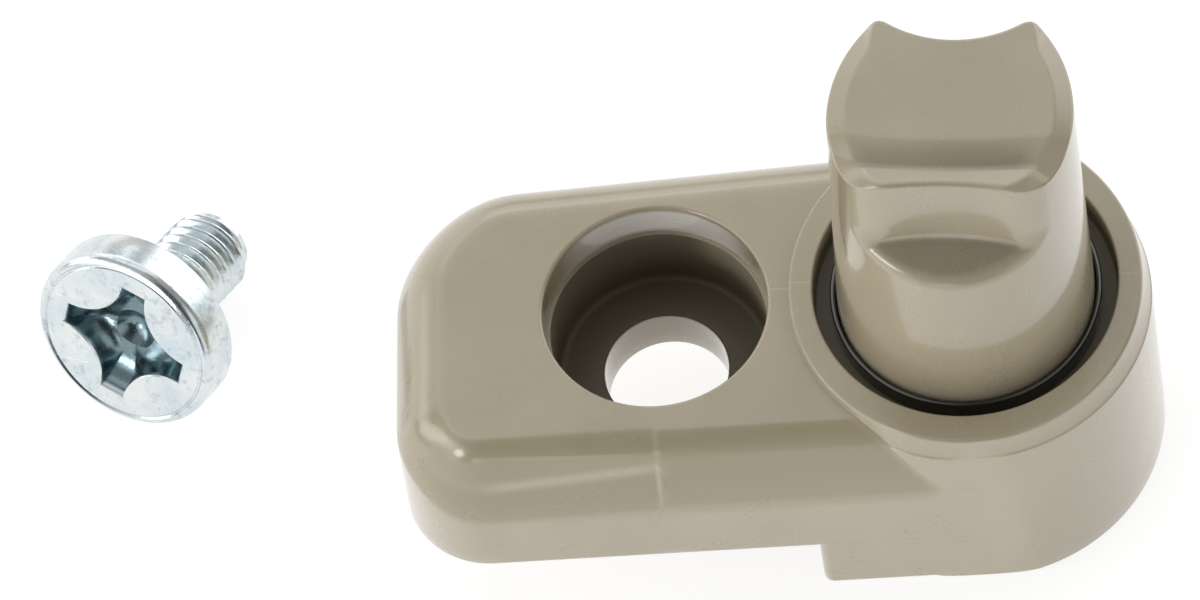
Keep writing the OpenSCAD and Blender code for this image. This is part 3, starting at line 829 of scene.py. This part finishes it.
def buildCross(s):
    # plan of a cross: straight wing ends joined by large arcs, drawn in towards its bottom
    half, reach = s["wing"] / 2, s["span"] / 2
    quarter = np.linspace(0, np.pi / 2, 14)
    px = half + (reach - half) * (1 - np.sin(quarter))
    py = half + (reach - half) * (1 - np.cos(quarter))
    way = np.radians(90 * np.arange(4))[:, None]
    plan = np.stack([px * np.cos(way) - py * np.sin(way), px * np.sin(way) + py * np.cos(way)], -1)
    plan = plan.reshape(-1, 2)
    depth = np.array([-0.6, -0.02, 0.05, 0.11, 0.35, 0.7, 1.0, 1.2, 1.35, 1.45, 1.5])
    size = np.array([1.05, 1.045, 1.015, 1.0, 0.98, 0.93, 0.86, 0.77, 0.65, 0.50, 0.25])
    cosine, sine = math.cos(math.radians(s["recessTurn"])), math.sin(math.radians(s["recessTurn"]))
    x, y = np.moveaxis(plan[None] * size[:, None, None], -1, 0)
    z = np.repeat((depth - s["headH"])[:, None], len(plan), 1)
    points = np.stack([x * cosine - y * sine, x * sine + y * cosine, z], -1)
    return makePiece("cutCross", points, gridQuads(len(depth), len(plan)), endCaps(len(depth), len(plan)))


def buildPit(s):
    # the recess's round middle, a cone with a broken tip
    top = -s["headH"]
    profile = [[1.5, top + 1.0], [1.3, top + 1.35], [0.95, top + 1.8], [0.55, top + 2.1], [0.15, top + 2.2]]
    return revolve("cutPit", profile, 48)


def markRecess(piece, s):
    # an attribute that is 1 inside the recess, for the darker metal there
    points = np.empty(len(piece.data.vertices) * 3, np.float32)
    piece.data.vertices.foreach_get("co", points)
    x, y, z = points.reshape(-1, 3).T / mm
    share = smooth(z + s["headH"], 0.08, 0.15) * (np.hypot(x, y) < s["span"] / 2 + 0.1) * (z < -0.05)
    piece.data.attributes.new("recess", "FLOAT", "POINT").data.foreach_set("value", share.astype(np.float32))


def layDown(piece, s):
    # the screw lies on its head's rim and its shank's end, so tan(tilt) is the difference of their radii
    # over the length between them
    tilt = math.atan((s["headR"] - s["shankR"]) / (s["length"] - s["tip"]))
    lie = (Matrix.Translation((s["x"] * mm, s["y"] * mm, (footBottom + s["headR"] * math.cos(tilt)) * mm))
           @ Matrix.Rotation(math.radians(s["turn"]), 4, "Z") @ Matrix.Rotation(math.pi / 2 + tilt, 4, "Y"))
    piece.data.transform(lie)


screw = buildHead(screwShape)
combine(screw, [("UNION", buildThread(screwShape)), ("DIFFERENCE", buildCross(screwShape)),
                ("DIFFERENCE", buildPit(screwShape))])
markRecess(screw, screwShape)
layDown(screw, screwShape)
finishShading(screw, 30)
dress(screw, zinc, "lock_body", "plated_steel", "fixing_screw")
print("screw made,", len(screw.data.polygons), "faces")


# panels are the studio's soft lights: azimuth and elevation of the way to each, its half width and its soft
# rim, all in degrees, and its level
lightSetup = {
    "fill": 0.06, "floorGlow": 0.78, "floorReach": 900.0,
    "panels": [
        (99, 55, 28, 5, 1.0), (190, 60, 15, 20, 0.5), (350, 60, 15, 20, 0.34), (98, 22, 6, 6, 1.2),
        (90, 12, 15, 20, 0.5), (135, 14, 15, 20, 1.07), (160, 18, 6, 10, 1.2), (183, 20, 5, 12, 3.2),
        (205, 22, 5, 10, 1.2), (215, 20, 12, 18, 1.3), (229, 15, 5, 6, 7.0), (258, 5, 4, 5, 2.0),
        (315, 15, 15, 20, 0.95), (45, 14, 15, 20, 2.1),
    ],
}


def makeFloor(s):
    reach, z = s["floorReach"], footBottom
    points = [(-reach, -reach, z), (reach, -reach, z), (reach, reach, z), (-reach, reach, z)]
    floor = makePiece("floor", points, np.array([[0, 1, 2, 3]]))
    material = newMaterial("paleFloor", {
        "Base Color": (0.35, 0.35, 0.35, 1), "Roughness": 0.9,
        "Emission Color": (1, 1, 1, 1), "Emission Strength": s["floorGlow"]})[0]
    floor.data.materials.append(material)


def lightWorld(s):
    # a studio sky: an even fill and a few soft round panels
    world = bpy.data.worlds.new("studio")
    scene.world = world
    world.use_nodes = True
    tree = Tree(world.node_tree)
    way = tree.add("ShaderNodeTexCoord", {}, (), 0)
    total = s["fill"]
    for azimuth, elevation, core, rim, level in s["panels"]:
        a, e = math.radians(azimuth), math.radians(elevation)
        middle = (math.cos(a) * math.cos(e), math.sin(a) * math.cos(e), math.sin(e))
        facing = tree.add("ShaderNodeVectorMath", {"operation": "DOT_PRODUCT"}, [way, middle], 1)
        edge, full = math.cos(math.radians(core + rim)), math.cos(math.radians(core))
        total = facing.between(edge, full) * level + total
    tree.put(tree.nodes["Background"], "Strength", total)
    tree.nodes["Background"].inputs["Color"].default_value = (1.0, 1.0, 1.0, 1.0)


makeFloor(lightSetup)
lightWorld(lightSetup)
print("floor and light made")
